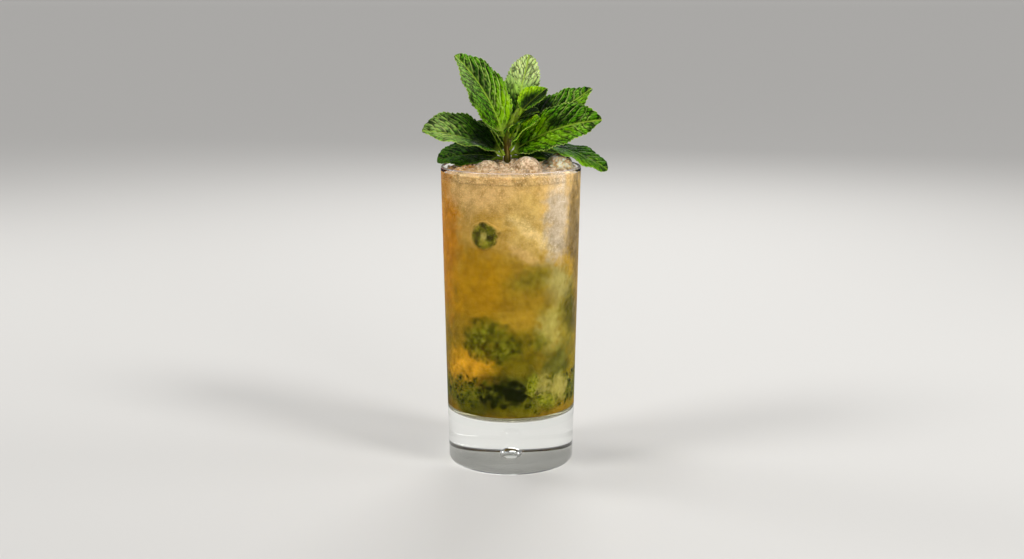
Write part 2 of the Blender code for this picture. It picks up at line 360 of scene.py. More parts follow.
def makeTumbler():
    heel, lip, corner, flat = tumbler["heel"], tumbler["rimWall"] / 2, tumbler["floorCorner"], tumbler["flat"]
    top, floorHeight, wetHeight = tumbler["height"], tumbler["floorHeight"], tumbler["wetHeight"]
    cornerHeight = floorHeight + corner
    rings = [(tumbler["footRadius"] - heel - flat, 0)]
    rings += arcRings(tumbler["footRadius"] - heel, heel, heel, -90, 0, 8)
    rings += [(outerRadius(h), h) for h in np.linspace(heel, top - lip, 8)[1:-1]]
    rings += arcRings(tumbler["rimRadius"] - lip, top - lip, lip, 0, 180, 10)
    rings += [(innerRadius(h), h) for h in np.linspace(wetHeight, cornerHeight, 8)[:-1]]
    rings += arcRings(innerRadius(cornerHeight) - corner, cornerHeight, corner, 0, -90, 10)
    rings += [(innerRadius(cornerHeight) - corner - flat, floorHeight)]
    glass = joinPieces(turnRings(rings, tumbler["sides"]), makeBubble())
    smoothShade(glass, 40)
    settle(glass, "tumbler", clearGlass("clearGlass", tumbler["bending"]), "glass", "glass")
    glass.data.materials.append(clearGlass("wettedGlass", tumbler["wetBending"]))
    glass.data.materials.append(clearGlass("wallGlass", tumbler["bending"], tumbler["unmirrored"]))
    # painted highlight: whitish, partly clear glass on the lip stands in for the bright line along the rim
    lipHighlightGlass = clearGlass("lipHighlightGlass", tumbler["bending"])
    setInputs(lipHighlightGlass.node_tree.nodes["Principled BSDF"],
              {"Base Color": tumbler["lipHighlightTone"], "Transmission Weight": tumbler["lipHighlightClear"]})
    glass.data.materials.append(lipHighlightGlass)
    wetted, wall, rim = 1, 2, 3  # material slots, after the clear glass
    for face in glass.data.polygons:
        inward = face.normal.x * face.center.x + face.normal.y * face.center.y < -1e-6
        floorFace = face.normal.z > 0.5 and abs(face.center.z - floorHeight) < 3 * mm
        if face.center.z > top - tumbler["lipHeight"]:
            face.material_index = rim
        elif floorHeight - 0.1 * mm < face.center.z < wetHeight and (inward or floorFace):
            face.material_index = wetted
        elif floorHeight < face.center.z < wetHeight and not inward:
            face.material_index = wall


def makeBubble():  # a drop of air in the foot, so its faces point inwards
    drop = tumbler["bubble"]
    bubble = newShape(bpy.ops.mesh.primitive_uv_sphere_add, segments=64, ring_count=32, radius=drop["width"] / 2,
                      location=(0, 0, drop["centre"]))
    bpy.ops.object.mode_set(mode="EDIT")
    bpy.ops.mesh.select_all(action="SELECT")
    bpy.ops.transform.resize(value=(1, 1, drop["height"] / drop["width"]))
    bpy.ops.mesh.flip_normals()
    bpy.ops.object.mode_set(mode="OBJECT")
    return bubble


def clearGlass(name, bending, unmirrored=0.0):
    material, shader = newMaterial(name)
    smears = noiseAt(objectPlace(shader), 90, 4)
    setInputs(shader, {"Base Color": tone(250, 252, 251), "IOR": bending, "Transmission Weight": 1,
                       "Roughness": spread(smears, 0.55, 0.85, 0.0, 0.04)})
    letLightThrough(shader, (0.97, 0.98, 0.98, 1), unmirrored)
    return material


makeTumbler()
print("glass ready")


drink = {
    "intoWall": 0.12 * mm,  # reaches just into the glass, so no air shows between them
    "level": drinkHigh.z,
    "tint": (0.98, 0.86, 0.12, 1),
    "density": 55.0,
}


def makeDrink():
    into, corner, wetHeight = drink["intoWall"], tumbler["floorCorner"], tumbler["wetHeight"]
    cornerHeight = tumbler["floorHeight"] + corner
    rings = [(innerRadius(cornerHeight) - corner - tumbler["flat"], tumbler["floorHeight"] - into)]
    rings += arcRings(innerRadius(cornerHeight) - corner, cornerHeight, corner + into, -90, 0, 10)
    rings += [(innerRadius(h) + into, h) for h in np.linspace(cornerHeight, wetHeight, 8)[1:]]
    rings += [(innerRadius(wetHeight) - 1.5 * mm, wetHeight - 0.5 * mm)]
    liquid = turnRings(rings, tumbler["sides"])
    smoothShade(liquid, 40)
    settle(liquid, "drinkLiquid", amberDrink(), "drink", "drink")


def amberDrink():
    material, shader = newMaterial("amberDrink")  # the glass round it already bends the light
    setInputs(shader, {"Base Color": (1, 0.97, 0.9, 1), "IOR": 1.0, "Roughness": 0, "Transmission Weight": 1})
    letLightThrough(shader, (1, 0.98, 0.94, 1))
    absorb = addNode(shader, "ShaderNodeVolumeAbsorption", {"Color": drink["tint"], "Density": drink["density"]})
    setInputs(shader.id_data.nodes["Material Output"], {"Volume": absorb.outputs["Volume"]})
    return material


makeDrink()
print("drink ready")


# crushed ice packed in the drink; it carries the colours of the drink
packedIce = {
    "low": tumbler["floorHeight"] + 3.2 * mm,  # clear liquid shows below it
    "high": drink["level"] + 0.5 * mm,  # a little way into the heap
    "back": 0.35 * mm,  # how far its face stays behind the glass
    "cell": 0.62 * mm,
    "grains": ((3.0 * mm, 0.34 * mm), (1.4 * mm, 0.28 * mm)),  # size and depth
    "gain": (1.14, 1.12, 1.0, 1.0),  # makes up for what the liquid over it takes away
    "toneDrift": ((14 * mm, 0), (5.5 * mm, 9), (2.2 * mm, 5)),  # size and seed of its coarse, middling and fine waves
    "bandDrift": (9, 4),  # how far, in mm, the waves shift the bands of colour
    "edgeDrift": (0.3, 0.35, 0.32),  # and how far they tear the edges of the patches
}

drinkBands = (  # height in mm and the drink's colour there
    (30, (122, 96, 22)), (36, (84, 82, 12)), (46, (84, 80, 10)), (56, (116, 97, 14)), (75, (132, 105, 20)),
    (95, (136, 109, 22)), (112, (154, 123, 44)), (130, (176, 142, 74)), (146, (180, 150, 104)),
)
drinkColours = {
    "orange": (168, 108, 6),
    "amber": (162, 120, 8),
    "gold": (170, 136, 40),
    "glow": (206, 152, 36),
    "copper": (188, 136, 36),
    "tan": (152, 120, 36),
    "bronze": (126, 100, 22),
    "brown": (130, 86, 12),
    "peach": (194, 160, 112),
    "straw": (176, 150, 94),
    "paleIce": (212, 188, 142),
    "dullIce": (202, 176, 134),
    # painted highlight colour for the pale band on the right
    "highlightIce": (162, 150, 142),
    "iceShadow": (102, 86, 62),
    "paleGreen": (176, 166, 90),
    "khaki": (154, 144, 76),
    "sage": (142, 132, 78),
    "olive": (118, 110, 42),
    "darkOlive": (102, 96, 20),
    "moss": (88, 80, 6),
    "murk": (76, 80, 28),
    "dusk": (62, 58, 8),
    "ivy": (46, 48, 6),
    "black": (6, 6, 2),
}
drinkPatches = (  # azimuth, height, half width, half height (mm), turn, strength, colour
    (-160, 118, 12, 34, 0, 0.85, "orange"),
    (-120, 141, 18, 7, 0, 0.75, "peach"),
    (-80, 133, 10, 8, 0, 0.55, "straw"),
    (-73, 121, 14, 11, -25, 0.75, "straw"),
    (-68, 121, 15, 2.8, -38, 0.45, "paleIce"),
    (-88, 104, 14, 9, 0, 0.4, "bronze"),
    (-79, 112, 11, 2.4, -30, 0.38, "peach"),
    (-112, 121, 3.6, 3.4, 0, 0.9, "khaki"),
    (-150, 149.5, 14, 2.6, 0, 0.9, "brown"),
    # painted highlight: a pale vertical band where the right softbox lights the ice
    (-45, 129, 8.5, 21, 0, 0.85, "highlightIce"),
    (-22, 124, 6, 26, 0, 0.85, "iceShadow"),
    (-124, 95, 17, 18, 0, 0.75, "amber"),
    (-28, 80, 9, 20, 0, 0.8, "olive"),
    (-52, 84, 9, 5, 0, 0.7, "olive"),
    (-70, 99, 13, 6.5, 15, 0.75, "darkOlive"),
    (-42, 96, 8.5, 8, -10, 0.9, "sage"),
    (-22, 80, 7, 11, 0, 0.85, "dusk"),
    (-140, 91, 5, 5, 50, 0.5, "amber"),
    (-76, 89, 13, 8, 0, 0.6, "bronze"),
    (-104, 69, 17, 11, 12, 0.75, "moss"),
    (-86, 80, 9, 5, 0, 0.6, "gold"),
    (-53, 72, 6.6, 9, 0, 0.9, "khaki"),
    (-45, 55, 12, 8, 0, 0.85, "murk"),
    (-64, 67.5, 6, 5, 0, 0.8, "darkOlive"),
    (-86, 58.5, 13, 5, 0, 0.75, "moss"),
    (-139, 52.5, 16, 10.5, 18, 0.95, "amber"),
    (-135, 52, 13, 8.5, 15, 0.9, "glow"),
    (-106, 43, 24, 9, 0, 0.8, "dusk"),
    (-85, 42, 8, 5, 0, 0.9, "black"),
    (-59, 46, 4.4, 6.5, -20, 0.6, "khaki"),
    (-39, 43, 8, 6, 0, 0.8, "khaki"),
    (-56, 37, 8, 4, 0, 0.7, "olive"),
    (-88, 33.2, 16, 2.6, 0, 0.85, "moss"),
    (-8, 112, 7, 34, 0, 0.85, "iceShadow"),
    (24, 128, 14, 16, 10, 0.7, "dullIce"),
    (12, 98, 12, 16, -20, 0.5, "tan"),
    (30, 58, 12, 8, 10, 0.8, "paleGreen"),
    (68, 72, 15, 10, 20, 0.75, "moss"),
    (88, 118, 16, 12, 15, 0.55, "paleIce"),
    (112, 100, 12, 10, -30, 0.6, "olive"),
    (128, 84, 9, 9, 10, 0.85, "paleGreen"),
    (150, 46, 14, 8, 0, 0.85, "ivy"),
    (104, 50, 13, 8, 15, 0.8, "copper"),
    (160, 74, 12, 10, 0, 0.6, "olive"),
)


def iceChip(detail):  # one rounded chip, one unit in radius, as arrays of corners and faces
    chip = newShape(bpy.ops.mesh.primitive_ico_sphere_add, subdivisions=detail, radius=1)
    corners = np.array([v.co for v in chip.data.vertices])
    faces = np.array([p.vertices for p in chip.data.polygons])
    bpy.data.objects.remove(chip)
    return corners, faces


def meshFrom(name, corners, faces):
    mesh = bpy.data.meshes.new(name)
    mesh.from_pydata(corners.tolist(), [], faces.tolist())
    piece = bpy.data.objects.new(name, mesh)
    bpy.context.scene.collection.objects.link(piece)
    return piece


def scatterChips(places, detail, dice, lumpiness=0.2):  # places are (centre, radius); each chip gets its own shape
    corners, faces = iceChip(detail)
    allCorners, allFaces = [], []
    for number, (centre, radius) in enumerate(places):
        squash = np.array([1 + lumpiness * dice.uniform(-1, 0.75) for _ in range(3)])
        turn = np.array(Euler([dice.uniform(0, math.tau) for _ in range(3)]).to_matrix())
        lumpy = np.array([1 + lumpiness * noise.noise(Vector(c) * 1.7 + Vector((number, 0, 0))) for c in corners])
        chip = (corners * lumpy[:, None] * squash) @ turn.T * radius + np.array(centre)
        allFaces.append(faces + number * len(corners))
        allCorners.append(chip)
    return np.concatenate(allCorners), np.concatenate(allFaces)


def fuse(piece, voxel):
    remesh = piece.modifiers.new("fuse", "REMESH")
    remesh.mode = "VOXEL"
    remesh.voxel_size = voxel
    applyModifiers(piece)


def roughen(piece, size, strength, level=0.5, kind="CLOUDS"):
    texture = bpy.data.textures.new(kind, kind)
    texture.noise_scale = size
    displace = piece.modifiers.new("roughen", "DISPLACE")
    displace.texture = texture
    displace.texture_coords = "LOCAL"
    displace.strength = strength
    displace.mid_level = level
    applyModifiers(piece)


def meshPlaces(piece):
    places = np.empty(len(piece.data.vertices) * 3)
    piece.data.vertices.foreach_get("co", places)
    return places.reshape(-1, 3)


def storeValues(piece, label, values):
    attribute = piece.data.attributes.new(label, "FLOAT", "POINT")
    attribute.data.foreach_set("value", values.astype(np.float32))


def storeTones(piece, label, tones):
    attribute = piece.data.attributes.new(label, "FLOAT_COLOR", "POINT")
    attribute.data.foreach_set("color", tones.astype(np.float32).ravel())


def drift(places, size, seed=0.0):  # smooth random values from about -1 to 1, at a size in metres
    return np.array([noise.noise(Vector(place) / size + Vector((seed, 0, 0))) for place in places])


def ease(values):  # 0 to 1 with soft ends
    values = np.clip(values, 0, 1)
    return values * values * (3 - 2 * values)


def hump(values, width):  # 1 at zero, falling away on both sides
    return np.exp(-((values / width) ** 2))


def wallRadius(heights):  # inside of the glass at many heights, its rounded floor corner included
    into = 1 - np.clip((heights - tumbler["floorHeight"]) / tumbler["floorCorner"], 0, 1)
    return innerRadius(heights) - tumbler["floorCorner"] * (1 - np.sqrt(1 - into**2))


def keepInside(places):  # what is below the rim stays a hair inside the glass
    reach = np.hypot(places[:, 0], places[:, 1])
    most = wallRadius(places[:, 2]) - 0.15 * mm
    shrink = np.where(places[:, 2] < tumbler["height"], np.minimum(1, most / np.maximum(reach, 1e-9)), 1)
    places[:, :2] *= shrink[:, None]
    return places


def movePlaces(piece, places):
    piece.data.vertices.foreach_set("co", places.ravel())


def drinkTones(places):  # the drink's colour at each place: bands by height, then patches with ragged edges
    heights, colours = zip(*((height, tone(*colour)) for height, colour in drinkBands))
    waves = [drift(places, size, seed) for size, seed in packedIce["toneDrift"]]
    level = places[:, 2] / mm + sum(wave * far for wave, far in zip(waves, packedIce["bandDrift"]))
    tones = np.stack([np.interp(level, heights, [c[i] for c in colours]) for i in range(4)], axis=1)
    turn = np.degrees(np.arctan2(places[:, 1], places[:, 0]))
    for azimuth, height, halfWidth, halfHeight, tilt, strength, colour in drinkPatches:
        aside = np.radians((turn - azimuth + 180) % 360 - 180) * wallRadius(places[:, 2]) / mm
        above = places[:, 2] / mm - height
        lean = math.radians(tilt)
        u = (aside * math.cos(lean) + above * math.sin(lean)) / halfWidth
        v = (above * math.cos(lean) - aside * math.sin(lean)) / halfHeight
        distance = np.hypot(u, v) + sum(wave * far for wave, far in zip(waves, packedIce["edgeDrift"]))
        share = strength * ease((1.5 - distance) / 1.0)[:, None]
        tones = tones * (1 - share) + np.array(tone(*drinkColours[colour])) * share
    return tones * packedIce["gain"]


def makePackedIce():
    low, high, back, cell = (packedIce[key] for key in ("low", "high", "back", "cell"))
    rings = [(radius, low) for radius in np.arange(2 * mm, wallRadius(low) - 1.2 * mm, 2 * mm)]
    rings += [(wallRadius(h) - back, h) for h in np.arange(low + cell, high, cell)]
    rings += [(wallRadius(high) - back - inset, high) for inset in np.arange(1, 5) * cell]
    sides = int(math.tau * wallRadius(high) / cell)
    ice = turnRings(rings, sides)
    for size, depth in packedIce["grains"]:
        roughen(ice, size, -depth, 0.0, "VORONOI")
    places = meshPlaces(ice)
    places[:, 2] = np.clip(places[:, 2], low - 1.5 * mm, high)
    movePlaces(ice, keepInside(places))
    storeTones(ice, "tone", drinkTones(places))
    smoothShade(ice, 80)
    settle(ice, "packedIce", sunkIce(), "drink")


def icyBody(shader, contrast):  # the stored tone broken up into wisps, with pale granules and painted glints where it is icy
    place = objectPlace(shader)
    tint = storedValue(shader, "tone", "Color")
    shares = addNode(shader, "ShaderNodeSeparateColor", {"Color": tint})
    frost = spread(shares.outputs["Blue"], 0.015, 0.18, 0.4, 1.7)
    depth = spread(shares.outputs["Green"], 0.03, 0.22, 1.9, 0.9)  # dark places vary more
    granules = cellsAt(place, 900)
    glintNoise = noiseAt(place, 1300, 2)
    paler = blendOf(1.0, tint, (1.5, 1.52, 1.8, 1), "MULTIPLY")
    darker = blendOf(1.0, tint, (0.6, 0.56, 0.4, 1), "MULTIPLY")
    wisps = spread(noiseAt(place, 170, 9, 0.25), 0.34, 0.66, -contrast, contrast)
    flecks = spread(noiseAt(place, 480, 4), 0.36, 0.64, -0.45 * contrast, 0.45 * contrast)
    cloud = timesOf(plusOf(wisps, flecks), depth)
    body = blendOf(plusOf(cloud, 0.5), darker, paler)
    body = blendOf(timesOf(frost, spread(granules, 0.1, 0.6, contrast * 1.4, 0.0)), body, paler)
    # painted glints: fine specks painted paler where it is icy
    body = blendOf(timesOf(frost, spread(glintNoise, 0.55, 0.7, 0.0, contrast * 2)), body, paler)
    return place, granules, glintNoise, body


def sunkIce():
    material, shader = newMaterial("sunkIce")
    _, _, glintNoise, body = icyBody(shader, 0.19)
    setInputs(shader, {"Base Color": body, "Roughness": 0.6, "Specular IOR Level": 0})
    softInside(shader, 0.4, (1.0, 0.9, 0.7), 0.6 * mm)
    bumpInto(shader, glintNoise, 0.25, 0.4 * mm)
    return material


makePackedIce()
print("packed ice ready")


muddledMint = {
    "behindGlass": 0.16 * mm,
    "least": 0.15 * mm,  # no part of it comes nearer to the glass
    "crumple": 0.8 * mm,
    "ridge": 0.1 * mm,
    "cell": 0.54 * mm,
    "lobes": (3.4 * mm, 1.5 * mm, 0.8 * mm),  # sizes of its crumples
    "layer": 0.01,  # how much deeper a sheet lies for its half width, so small ones are in front
    "bedLayer": 0.2 * mm,
    "footHeights": (58, 48),  # mm: calm above the first, lively below the second
    "thickness": 0.25 * mm,
}

mintClumps = (  # azimuth, height, half width, half height (mm), turn, hollow, how far out, light
    (-113, 121.2, 7.0, 6.3, 0, 0.62, 0.36, 0.4),
    (-101, 123.5, 5.5, 2.4, 25, 0, -0.1, 0.34),
    (-112, 69, 14.5, 12, 8, 0, 0.4, 0.5),
    (-98, 65, 12, 9.5, -12, 0, 0.26, 0.44),
    (-64, 67.5, 6, 4.6, 20, 0, 0.06, 0.42),
    (-71, 46.5, 3.8, 8.5, 0, 0, 0.16, 0.85),
    (-56, 37.5, 8, 4.2, -15, 0, 0.16, 0.8),
    (-130, 40.5, 13, 6.5, 0, 0, 0.16, 0.6),
    (-86, 41.5, 9, 4.0, 4, 0, 0.36, -0.2),
    (-24, 84, 2.4, 10, 10, 0, -0.1, 0.4),
    (-146, 92, 2.6, 6, 30, 0, -0.1, 0.5),
    (64, 74, 14, 9, 20, 0, 0.08, 0.4),
    (80, 66, 11, 8, -20, 0, 0.08, 0.3),
    (118, 118, 6.8, 6.0, 0, 0.62, 0.3, 0.45),
    (148, 58, 10, 7, 10, 0, 0.1, 0.5),
    (14, 94, 4, 8, 40, 0, -0.05, 0.45),
    (None, 42, 0, 10.5, 0, 0, 0.14, 0.42),  # the bed of leaves all round the foot
    (-97, 41.5, 16, 7.5, 5, 0, 0.36, 0.08),
)


def mintSheet(clump, number):  # a crumpled sheet along the glass; its edge dives behind the ice
    azimuth, height, halfWidth, halfHeight, tilt, hollow, out, light = clump
    aroundAll = azimuth is None
    wide = math.pi * wallRadius(height * mm) if aroundAll else 1.4 * halfWidth * mm
    high = 1.4 * halfHeight * mm
    sheet = newShape(bpy.ops.mesh.primitive_grid_add, x_subdivisions=int(2 * wide / muddledMint["cell"]),
                     y_subdivisions=int(2 * high / muddledMint["cell"]), size=2)
    flat = meshPlaces(sheet)
    aside, above = flat[:, 0] * wide, flat[:, 1] * high
    lean = 0 if aroundAll else math.radians(tilt)
    angle = math.radians(-90 if aroundAll else azimuth)
    angle = angle + (aside * math.cos(lean) - above * math.sin(lean)) / wallRadius(height * mm)
    level = height * mm + aside * math.sin(lean) + above * math.cos(lean)
    level = np.clip(level, tumbler["floorHeight"] + 2.4 * mm, drink["level"] - 1 * mm)
    around = np.stack([tumbler["footRadius"] * np.cos(angle), tumbler["footRadius"] * np.sin(angle), level], axis=1)
    big, middling, small = (drift(around, size, number * 3.7) for size in muddledMint["lobes"])
    far = np.hypot(0 if aroundAll else aside / (halfWidth * mm), above / (halfHeight * mm))
    if hollow:
        far = np.abs(far - hollow) / 0.46

    calm, lively = muddledMint["footHeights"]
    foot = float(ease((calm - height) / (calm - lively)))
    ragged = 0.66 * big + 0.2 * middling + 0.16 * small
    wane = 0.62 * far**2 + ragged * (0.7 + 0.6 * foot) - out - 0.3 + 0.35 * ease((far - 0.9) / 0.5)
    ridges = (1 - np.clip(np.abs(middling) * 3, 0, 1)) * (0.3 + 0.25 * foot)
    layer = muddledMint["bedLayer"] if aroundAll else muddledMint["layer"] * halfWidth * mm
    sunk = muddledMint["behindGlass"] + layer + muddledMint["crumple"] * np.clip(wane + 0.2, 0, 1.4)
    reach = wallRadius(level) - np.maximum(sunk - muddledMint["ridge"] * ridges, muddledMint["least"])
    places = np.stack([reach * np.cos(angle), reach * np.sin(angle), level], axis=1)
    movePlaces(sheet, places)

    tones = drinkTones(places)
    clear = max(foot, 1.0 if hollow else 0.0)
    hidden = ease((tones[:, 1] - 0.14) / 0.14) * aroundAll  # pale ice lies over the bed of leaves
    shine = 0.55 * big + (0.22 + 0.13 * foot) * middling + (0.12 + 0.28 * foot) * small
    storeTones(sheet, "tone", tones)
    storeValues(sheet, "ridges", ridges * np.clip(1.3 - far, 0.2, 1))
    storeValues(sheet, "veiled", np.maximum(np.maximum(ease((wane + 0.7) / 0.9), hidden), 0.26 - 0.2 * clear))
    storeValues(sheet, "light", np.clip(light + shine, -0.4, 1.1))
    return sheet


def thicken(sheet, thickness, offset, group=""):
    solid = sheet.modifiers.new("thickness", "SOLIDIFY")
    solid.thickness = thickness
    solid.offset = offset
    solid.vertex_group = group
    applyModifiers(sheet)
    bpy.ops.object.shade_smooth()


def makeMuddledMint():
    mint = joinPieces(*[mintSheet(clump, number) for number, clump in enumerate(mintClumps)])
    thicken(mint, muddledMint["thickness"], -1)
    settle(mint, "muddledMint", bruisedMint(), "mint_leaf")


def bruisedMint():
    material, shader = newMaterial("bruisedMint")
    place, _, _, icy = icyBody(shader, 0.19)
    ridges, light, veiled = (storedValue(shader, label) for label in ("ridges", "light", "veiled"))
    patches = noiseAt(place, 420, 4)
    shine = plusOf(light, spread(patches, 0.3, 0.7, -0.14, 0.18))
    body = rampOf(shine, (0.0, tone(12, 18, 0)), (0.3, tone(48, 54, 2)), (0.6, tone(92, 94, 6)),
                  (1.0, tone(152, 154, 32)))
    specks = timesOf(spread(noiseAt(place, 1100, 2), 0.56, 0.68), light)
    body = blendOf(specks, body, tone(176, 168, 70))
    # painted highlight: the crumple ridges nearest the glass are painted a brighter green
    body = blendOf(timesOf(timesOf(ridges, light), 0.6), body, tone(122, 134, 24))
    body = blendOf(spread(veiled, 0.0, 1.0, 0.08, 1.0), body, icy)  # its edges fade into the drink
    setInputs(shader, {"Base Color": body, "Roughness": 0.5, "Specular IOR Level": 0})
    softInside(shader, 0.25, (0.7, 1.0, 0.15), 0.4 * mm)
    bumpInto(shader, patches, 0.2, 0.4 * mm)
    return material


makeMuddledMint()
print("muddled mint ready")


iceHeap = {
    "seed": 5,
    "edge": 150 * mm,
    "crown": 153 * mm,
    "lumps": 260,
    "size": (0.9 * mm, 2.2 * mm),
    "voxel": 0.36 * mm,
    "roughness": ((3.2 * mm, 0.5 * mm), (0.9 * mm, 0.5 * mm)),  # size and depth of its grain
    "domes": (  # x, y, top, radius of the large lumps in front
        (-11.5, -15.0, 156.0, 6.5),
        (7.6, -15.0, 157.8, 7.1),
        (24.5, -2.5, 158.4, 6.3),
    ),
    "brightenedDome": 2,  # painted light: this dome is painted brighter, so it stays bright in the shade of its leaf
    "wetLine": (tumbler["wetHeight"], 152.6 * mm),  # the drink's colour below it, white ice above it
    "soak": {"height": 4.5 * mm, "x": -28 * mm, "width": 10 * mm},  # the drink climbs higher on the left
    "shadedWhite": tone(162, 132, 90),
    "litWhite": tone(220, 192, 152),
    "brightest": (0.66, 0.62, 0.5),
    "leafGap": 0.4 * mm,
    "goldenAngle": 2.39996,
}


def heapSurface(reach):
    share = reach / innerRadius(iceHeap["edge"])
    return iceHeap["crown"] - (iceHeap["crown"] - iceHeap["edge"]) * share**2


def makeIceHeap(leafPoints):
    dice = random.Random(iceHeap["seed"])
    places = []
    for number in range(iceHeap["lumps"]):
        radius = dice.uniform(*iceHeap["size"])
        reach = (innerRadius(iceHeap["edge"]) - radius) * math.sqrt((number + 0.5) / iceHeap["lumps"])
        angle = number * iceHeap["goldenAngle"] + dice.uniform(-0.2, 0.2)
        centre = np.array((reach * math.cos(angle), reach * math.sin(angle),
                           heapSurface(reach) + radius * dice.uniform(-0.5, 0.3)))
        if np.linalg.norm(leafPoints - centre, axis=1).min() > radius * 1.15 + iceHeap["leafGap"]:
            places.append((centre, radius))
    domes = [((x * mm, y * mm, (top - radius) * mm), radius * mm) for x, y, top, radius in iceHeap["domes"]]
    chips = joinPieces(meshFrom("chips", *scatterChips(places, 4, dice)),
                       meshFrom("largeChips", *scatterChips(domes, 5, dice, 0.05)))
    edge = innerRadius(iceHeap["edge"]) - packedIce["back"]
    low = drink["level"] - 0.2 * mm
    rings = [(innerRadius(low) - packedIce["back"], low), (edge, iceHeap["edge"] - 0.4 * mm)]
    rings += [(edge * share, heapSurface(edge * share)) for share in (0.985, 0.9, 0.75, 0.55, 0.3, 0.1)]
    heap = joinPieces(turnRings(rings, 128), chips)
    fuse(heap, iceHeap["voxel"])
    for size, depth in iceHeap["roughness"]:
        roughen(heap, size, depth)
    places = keepInside(meshPlaces(heap))
    movePlaces(heap, places)
    storeTones(heap, "tone", heapTones(places))
    smoothShade(heap, 80)
    settle(heap, "iceHeap", wetIce(), "ice", "crushed_ice")


def heapTones(places):
    below = places.copy()
    below[:, 2] = np.minimum(below[:, 2], drink["level"])
    cloud = ease(0.5 + 0.5 * drift(places, 2.6 * mm, 2) + 0.9 * drift(places, 1.1 * mm, 4))[:, None]
    white = np.array(iceHeap["shadedWhite"]) * (1 - cloud) + np.array(iceHeap["litWhite"]) * cloud
    x, y, top, radius = [value * mm for value in iceHeap["domes"][iceHeap["brightenedDome"]]]
    away = np.linalg.norm(places - np.array((x, y, top - radius)), axis=1) / radius
    # painted light: tones round this dome are brightened against the shade of the leaf over it
    white[:, :3] *= 1 + 0.6 * ease(1.8 - away)[:, None]
    white[:, :3] = np.minimum(white[:, :3], iceHeap["brightest"])
    low, high = iceHeap["wetLine"]
    soak = iceHeap["soak"]["height"] * hump(places[:, 0] - iceHeap["soak"]["x"], iceHeap["soak"]["width"])
    dry = ease((places[:, 2] - soak + 1.2 * mm * drift(places, 2.5 * mm, 7) - low) / (high - low))[:, None]
    return drinkTones(below) * (1 - dry) + white * dry


def wetIce():
    material, shader = newMaterial("wetIce")
    _, granules, _, body = icyBody(shader, 0.28)
    setInputs(shader, {"Base Color": body, "Roughness": 0.22, "IOR": 1.31})
    setInputs(shader, {"Sheen Weight": 0.3, "Sheen Roughness": 0.35})  # brightens the outlines of the lumps
    softInside(shader, 0.7, (1.0, 0.9, 0.75), 1.6 * mm)
    bumpInto(shader, granules, 0.8, 0.5 * mm)
    return material


sprigStem = {
    "foot": np.array((-1.8, 2.0, 132.0)) * mm,
    "length": 48 * mm,
    "straight": 30 * mm,
    "lean": 6 * mm,
    "radius": 1.5 * mm,
    "tipRadius": 0.9 * mm,
    "corner": 0.12,  # a mint stem is nearly square
    "knot": 0.4 * mm,  # how far it swells where leaves leave it
    "knotHalf": 1.1 * mm,
    "knotsFrom": (26 * mm, 6 * mm),  # they grow from this height, over this length
    "sides": 24,
    "steps": 60,
    "greening": (0.154, 0.184),  # brown below the first height, green above the second
}

petiole = {"length": 3 * mm, "halfWidth": 0.7 * mm}

# name, node, foot height, azimuth, elevation, droop, roll, twist, length, width, fold, cup, finish; mm and degrees
leaves = (
    ("tallLeftLeaf", "mint_leaf_tall_left", 166, 186, 74, 30, -50, 27, 47, 27, 12, 0.04, "mid"),
    ("leftUpperLeaf", "mint_leaf_left_upper", 156.2, 192, 33.5, 31, -35, -19, 43, 27, 26, 0.04, "mid"),
    ("leftLowLeaf", "mint_leaf_left_low", 154.8, 171, 14, 35, -29, 11, 34, 26, 20, 0.16, "deep"),
    ("topBackLeaf", "mint_leaf_top_back", 172, 71, 48, -7, 17, -2, 42.5, 19, 19, 0.08, "mid"),
    ("backMidLeaf", "mint_leaf_back_mid", 163, 112, 46, 25, -5, 0, 29, 17, 15, 0.04, "mid"),
    ("backLowLeaf", "mint_leaf_back_low", 158.5, 99, 18, 40, 5, 0, 40, 20, 15, 0.04, "deep"),
    ("backRightLeaf", "mint_leaf_back_right", 163, 50, 27, 30, 20, 0, 40, 20, 15, 0.04, "deep"),
    ("youngBrightLeaf", "mint_leaf_young_bright", 176.5, 30, 44, 14, 19, -16, 21, 17, 22, 0.04, "young"),
    ("rightUpperLeaf", "mint_leaf_right_upper", 166, 17, 23, -11, 34, -24, 48, 23, 15, 0.04, "mid"),
    ("rightFrontLeaf", "mint_leaf_right_front", 157.5, -36, 34, 28, 62, 14, 57, 24, 15, 0.01, "mid"),
    ("rightLowLeaf", "mint_leaf_right_low", 158.2, 0, 16.5, 54, 5, 50, 50.5, 27, 1, 0.01, "deep"),
    ("youngRightLeaf", "mint_leaf_young_right", 173.2, -38, 33, 25, 30, 0, 16, 9, 20, 0.04, "young"),
    ("rightUnderLeaf", "mint_leaf_right_under", 156.1, -13, -1, 4, 48, 0, 17, 8.8, 15, 0.04, "deep"),
    ("backUnderLeaf", "mint_leaf_back_under", 157.3, 42, 5, 20, 50, 0, 34, 13, 15, 0.04, "deep"),
    ("leftUnderLeaf", "mint_leaf_left_under", 156.6, 140, 52, 20, -15, 0, 24, 15, 15, 0.04, "deep"),
    ("youngLowLeaf", "mint_leaf_young_low", 159.6, -47, 47, 18, 40, 0, 27, 14, 20, 0.04, "young"),
    ("frontSmallLeaf", "mint_leaf_front_small", 165.5, -60, 50, 20, 20, 0, 12, 8, 20, 0.04, "young"),
    ("leftSmallLeaf", "mint_leaf_left_small", 156.8, 219, 63, 10, -20, 0, 15, 8.6, 20, 0.04, "mid"),
)
